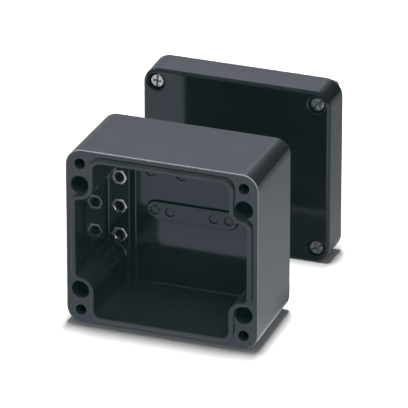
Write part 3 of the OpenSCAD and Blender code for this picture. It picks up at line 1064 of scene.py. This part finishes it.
def insert_mesh(name, outline, length):
    """One insert about the origin, from depth 0 to its length. outline gives its outside, shrunk by an amount."""
    bm = bmesh.new()
    chamfer, chamfer_middle, countersink = 0.15, 0.04, 0.25
    outside = wall(bm, [(outline(shrink), y) for shrink, y in (
        (chamfer, 0), (chamfer_middle, chamfer_middle), (0, chamfer), (0, length - chamfer), (chamfer, length))])
    bore = lathe(bm, (0, 0), [(BORE_R + countersink, 0), (BORE_R, countersink), (BORE_R, length - countersink),
                              (BORE_R + countersink, length)], 48)
    fill(bm, outside[0], [bore[0]])
    fill(bm, outside[-1], [bore[-1]])
    return finish_mesh(name, bm)


# Operators

class HOUSING_OT_stage(bpy.types.Operator):
    """Makes the pale floor, two cards that only reflections see, the studio lights and the camera"""
    bl_idname = "housing.make_stage"
    bl_label = "Stage"

    def execute(self, context):
        make_floor()
        make_back_card()
        make_front_card()
        make_lights()
        make_camera()
        return {"FINISHED"}


class HOUSING_OT_base(bpy.types.Operator):
    """Makes the moulded base, with its tongue, bosses, ledges, pad and holes"""
    bl_idname = "housing.make_base"
    bl_label = "Base"

    def execute(self, context):
        m = Measures()
        piece = weight_normals(base_mesh(m))
        paint_parting_edge(piece, m, m.rim_y, 1)
        paint_ledge_edges(piece, m)
        piece.data.materials.append(moulding_material())
        hand_over(piece, BODY, "housing_black", "base")
        return {"FINISHED"}


class HOUSING_OT_lid(bpy.types.Operator):
    """Makes the moulded lid, with its groove, hollow and counterbored screw holes"""
    bl_idname = "housing.make_lid"
    bl_label = "Lid"

    def execute(self, context):
        m = Measures()
        piece = cut(lid_mesh(m), lid_cutter(m))
        piece.data.set_sharp_from_angle(angle=CUT_SHARP_ANGLE)
        weight_normals(piece)
        paint_parting_edge(piece, m, m.lid_rim_y, -1)
        piece.data.materials.append(moulding_material())
        hand_over(piece, BODY, "housing_black", "lid")
        return {"FINISHED"}


class HOUSING_OT_seal(bpy.types.Operator):
    """Makes the rubber seal in the lid's groove"""
    bl_idname = "housing.make_seal"
    bl_label = "Seal"

    def execute(self, context):
        piece = weight_normals(seal_mesh(Measures()))
        piece.data.materials.append(plastic_material("Seal rubber"))
        hand_over(piece, BODY, "seal_rubber", "lid_seal")
        return {"FINISHED"}


class HOUSING_OT_screws(bpy.types.Operator):
    """Makes the four captive screws, with slot and cross recess and a rolled thread"""
    bl_idname = "housing.make_screws"
    bl_label = "Captive screws"

    turns = (5, 45, 20, 60)

    def execute(self, context):
        m = Measures()
        for i, turn in zip(CORNERS, self.turns):
            piece = cut(screw_mesh(m, i), recess_cutter(m, i, math.radians(turn)), 0.05 * MM)
            centre = m.screws[i - 1]
            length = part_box(f"lid_screw_{i}")[1].y - m.lid_rim_y * MM - TIP_L * MM
            start = Vector((centre.x, m.lid_rim_y + 0.3, centre.z)) * MM
            lay_thread(piece, CORE_R, 1.0, start, length, metal_material("Stainless steel"))
            hand_over(piece, f"screw_{i}", "screw_steel", f"lid_screw_{i}")
        return {"FINISHED"}


class HOUSING_OT_washers(bpy.types.Operator):
    """Makes the washers that keep the screws in the lid"""
    bl_idname = "housing.make_washers"
    bl_label = "Retaining washers"

    def execute(self, context):
        m = Measures()
        for i in CORNERS:
            piece = weight_normals(washer_mesh(m, i))
            piece.data.materials.append(plastic_material("Washer plastic"))
            hand_over(piece, f"washer_{i}", "washer_plastic", f"retaining_washer_{i}")
        return {"FINISHED"}


class HOUSING_OT_inserts(bpy.types.Operator):
    """Makes the threaded inserts, four in the corners and three on each ledge"""
    bl_idname = "housing.make_inserts"
    bl_label = "Threaded inserts"

    def execute(self, context):
        # The corner inserts take nickel darkened as painted shade for their deep holes
        self.make("corner_inserts", lambda shrink: circle((0, 0), CORNER_INSERT_R - shrink, 48),
                  CORNER_INSERTS, 2, metal_material("Tarnished nickel"))
        flats = node_size("ledge_insert_left_1").z / MM
        self.make("ledge_inserts", lambda shrink: hexagon((0, 0), flats - 2 * shrink),
                  LEDGE_INSERTS, len(LEDGE_ROWS), metal_material("Nickel plate"))
        return {"FINISHED"}

    def make(self, name, outline, nodes, rows, material):
        """One insert with its thread, then copies of it on the places of its nodes."""
        boxes = [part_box(node) for node in nodes]
        centres = [(low + high) / 2 for low, high in boxes]
        front, length = boxes[0][0].y, (boxes[0][1].y - boxes[0][0].y)
        left, right = min(c.x for c in centres), max(c.x for c in centres)
        lowest, highest = min(c.z for c in centres), max(c.z for c in centres)
        end_gap = 0.4 * MM
        part = insert_mesh(name + "_pattern", outline, length / MM)
        lay_thread(part, BORE_R, -1.0, (0, end_gap, 0), length - 2 * end_gap, material)
        piece = add_object(name, bpy.data.meshes.new(name))
        with_tree(piece, pattern_tree(), {
            "Part": part, "Spread X": right - left, "Pitch Z": (highest - lowest) / (rows - 1), "Rows": rows,
            "Middle": (0, front, (highest + lowest) / 2), "Material": material})
        bpy.data.objects.remove(part)
        hand_over(piece, BODY, "insert_nickel", *nodes)


class HOUSING_PT_panel(bpy.types.Panel):
    bl_idname = "HOUSING_PT_panel"
    bl_label = "Housing"
    bl_space_type = "VIEW_3D"
    bl_region_type = "UI"
    bl_category = "Housing"

    def draw(self, context):
        for made in OPERATORS:
            self.layout.operator(made.bl_idname)
        for settings in (context.scene.housing_sizes, context.scene.housing_colours, context.scene.housing_stage):
            for key in settings.__annotations__:
                self.layout.prop(settings, key)


# The stage

def make_sheet(name, corners):
    """A flat sheet of the stage, with its material to be finished."""
    mesh = bpy.data.meshes.new(name)
    mesh.from_pydata(corners, [], [(0, 1, 2, 3)])
    sheet = add_object(name, mesh)
    material, t, shader = new_material("Pale " + name)
    shader.inputs["Specular IOR Level"].default_value = 0.0
    mesh.materials.append(material)
    return sheet, t, shader


def make_floor():
    half = 4.0
    _, t, shader = make_sheet("floor", [(-half, -half, 0), (half, -half, 0), (half, half, 0), (-half, half, 0)])
    mirrored = t.node("ShaderNodeLightPath").outputs["Is Glossy Ray"]
    place = t.node("ShaderNodeSeparateXYZ", {0: t.node("ShaderNodeTexCoord").outputs["Object"]})
    # Painted reflection: what reflections show of the floor is an unlit glow graded from front to back, with painted
    # shade between the base and the lid
    level = graded(t, place.outputs["Y"], [
        (-0.30, 0.975), (-0.19, 0.975), (-0.15, 0.90), (-0.115, 0.775), (-0.09, 0.775), (-0.07, 0.875), (-0.056, 0.975),
        (-0.04, 0.71), (-0.02, 0.567), (0.03, 0.51), (0.06, 0.483), (0.10, 0.396), (0.16, 0.342), (0.30, 0.31),
        (0.48, 0.275), (1.4, 0.11), (1.8, 0.04)])
    gap_shade_x = graded(t, t.math("ABSOLUTE", place.outputs["X"]), [(0.036, 1.0), (0.048, 0.0)])
    gap_shade_y = graded(t, place.outputs["Y"], [(-0.02, 0.0), (-0.008, 1.0), (0.045, 1.0), (0.055, 0.0)])
    gap = t.math("MULTIPLY", gap_shade_x, gap_shade_y)
    black = (0, 0, 0, 1)
    painted_reflection = t.mix(1.0, level, (0.92, 0.95, 1.0, 1.0), "MULTIPLY")
    painted_reflection = t.mix(t.math("MULTIPLY", gap, 0.9), painted_reflection, black)
    # Reflections see only this painted glow; the camera and the lamps see the pale floor
    t.feed(shader, {
        "Base Color": t.mix(mirrored, with_alpha(bpy.context.scene.housing_colours.floor), black), "Roughness": 0.8,
        "Emission Color": t.mix(mirrored, black, painted_reflection), "Emission Strength": 1.2})


def make_card(name, corners):
    """A card that only reflections see."""
    card, t, shader = make_sheet(name, corners)
    for ray in ("camera", "diffuse", "transmission", "shadow"):
        setattr(card, f"visible_{ray}", False)
    shader.inputs["Base Color"].default_value = (0, 0, 0, 1)
    return card, t, shader


def gather(name, members):
    """A collection of the named objects that have been made."""
    made = bpy.data.collections.new(name)
    for member in members:
        if member in bpy.data.objects:
            made.objects.link(bpy.data.objects[member])
    return made


def make_front_card():
    """A bright card at the front right for the glints on inserts and screws, seen in first reflections only."""
    place, half = Vector((0.96, -1.56, 0.76)), 0.5
    across = Vector((0, 0, 1)).cross(place).normalized() * half
    up = place.cross(across).normalized() * half
    corners = [place + across * i + up * j for i, j in ((-1, -1), (1, -1), (1, 1), (-1, 1))]
    card, t, shader = make_card("front_card", corners)
    first = t.math("LESS_THAN", t.node("ShaderNodeLightPath").outputs["Ray Depth"], 1.5)
    t.feed(shader, {"Emission Color": (1, 1, 1, 1), "Emission Strength": t.math("MULTIPLY", first, 7.0)})
    card.light_linking.receiver_collection = gather("Lit by the front card", [
        "ledge_inserts", *(f"captive_screw_{i}" for i in CORNERS)])


def make_back_card():
    """A pale card at the back left, soft at its right edge."""
    left, right, low, high, y = -4.0, 1.3, 0.02, 3.0, 1.5
    _, t, shader = make_card("back_card", [(left, y, low), (right, y, low), (right, y, high), (left, y, high)])
    place = t.node("ShaderNodeSeparateXYZ", {0: t.node("ShaderNodeTexCoord").outputs["Object"]})
    across = graded(t, place.outputs["X"], [
        (-0.45, 1.0), (-0.21, 0.9), (0.0, 0.5), (0.18, 0.3), (0.37, 0.13), (0.55, 0.07), (0.85, 0.0)])
    up = graded(t, place.outputs["Z"], [(0.0, 0.4), (0.6, 0.49), (0.77, 0.575), (0.87, 0.93), (1.1, 1.0)])
    level = t.mix(1.0, across, up, "MULTIPLY")
    t.feed(shader, {
        "Emission Color": t.mix(1.0, level, (0.87, 0.89, 1.0, 1.0), "MULTIPLY"), "Emission Strength": 1.2})


def area_light(name, place, target, size, power):
    """A rectangular lamp that the camera and the reflections don't see."""
    data = bpy.data.lights.new(name, "AREA")
    data.shape = "RECTANGLE"
    data.size, data.size_y = size
    data.energy = power
    light = add_object(name, data)
    light.location = place
    light.rotation_euler = (Vector(target) - Vector(place)).to_track_quat("-Z", "Y").to_euler()
    light.visible_camera = False
    light.visible_glossy = False
    return light


def make_lights():
    """A lamp overhead, a front fill that spares the floor and the lid's moulding, and a pale room.

    The room's reflection is pale to the front and above, and dark to the back right.
    """
    area_light("overhead", (-0.02, 0.085, 1.5), (-0.02, 0.085, 0), (0.14, 0.29), 33.0)
    fill = area_light("front_fill", (0.25, -0.65, 1.35), (0, 0, 0.04), (1.0, 0.8), 34.0)
    spared = gather("Spared by the front fill", ("floor", "lid_moulding"))
    for member in spared.collection_objects:
        member.light_linking.link_state = "EXCLUDE"
    fill.light_linking.receiver_collection = spared
    world = bpy.data.worlds.new("Studio")
    world.use_nodes = True
    t = Tree(world.node_tree)
    world.node_tree.nodes.clear()
    rays = t.node("ShaderNodeLightPath").outputs
    way = t.node("ShaderNodeTexCoord").outputs["Generated"]
    frontness = t.node("ShaderNodeVectorMath", operation="DOT_PRODUCT", inputs={0: way, 1: (-0.30, -0.55, 0.78)})
    shade = t.node("ShaderNodeMapRange", interpolation_type="SMOOTHSTEP", inputs={
        "Value": frontness.outputs["Value"], "From Min": 0.1, "From Max": 0.6})
    mirrored = t.mix(shade.outputs[0], (0.035, 0.037, 0.042, 1.0), (0.25, 0.27, 0.32, 1.0))
    lighting = t.mix(rays["Is Glossy Ray"], (0.2, 0.2, 0.2, 1.0), mirrored)
    colour = t.mix(rays["Is Camera Ray"], lighting, (1.0, 1.0, 1.0, 1.0))
    sky = t.node("ShaderNodeBackground", {"Color": colour})
    t.node("ShaderNodeOutputWorld", {"Surface": sky.outputs[0]})
    bpy.context.scene.world = world
    bpy.context.scene.view_settings.view_transform = "Standard"


def make_camera():
    stage = bpy.context.scene.housing_stage
    az, el = stage.azimuth, stage.elevation
    back = Vector((math.sin(az) * math.cos(el), -math.cos(az) * math.cos(el), math.sin(el)))
    right = (-back).cross(Vector((0, 0, 1))).normalized()
    up = right.cross(-back)
    data = bpy.data.cameras.new("camera")
    data.lens = stage.lens
    data.clip_start, data.clip_end = 0.1, 50.0
    camera = add_object("camera", data)
    camera.location = Vector(stage.aim) + right * stage.aim_right + up * stage.aim_up + back * stage.distance
    camera.rotation_euler = (-back).to_track_quat("-Z", "Y").to_euler()
    bpy.context.scene.camera = camera


OPERATORS = (HOUSING_OT_base, HOUSING_OT_lid, HOUSING_OT_seal, HOUSING_OT_screws, HOUSING_OT_washers,
             HOUSING_OT_inserts, HOUSING_OT_stage)
CLASSES = (HousingSizes, HousingColours, HousingStage, *OPERATORS, HOUSING_PT_panel)


def register():
    for made in CLASSES:
        bpy.utils.register_class(made)
    bpy.types.Scene.housing_sizes = PointerProperty(type=HousingSizes)
    bpy.types.Scene.housing_colours = PointerProperty(type=HousingColours)
    bpy.types.Scene.housing_stage = PointerProperty(type=HousingStage)


def unregister():
    del bpy.types.Scene.housing_stage
    del bpy.types.Scene.housing_colours
    del bpy.types.Scene.housing_sizes
    for made in reversed(CLASSES):
        bpy.utils.unregister_class(made)


def main():
    register()
    bpy.ops.housing.make_base()
    bpy.ops.housing.make_lid()
    bpy.ops.housing.make_seal()
    bpy.ops.housing.make_screws()
    bpy.ops.housing.make_washers()
    bpy.ops.housing.make_inserts()
    bpy.ops.housing.make_stage()


if __name__ == "__main__":
    main()
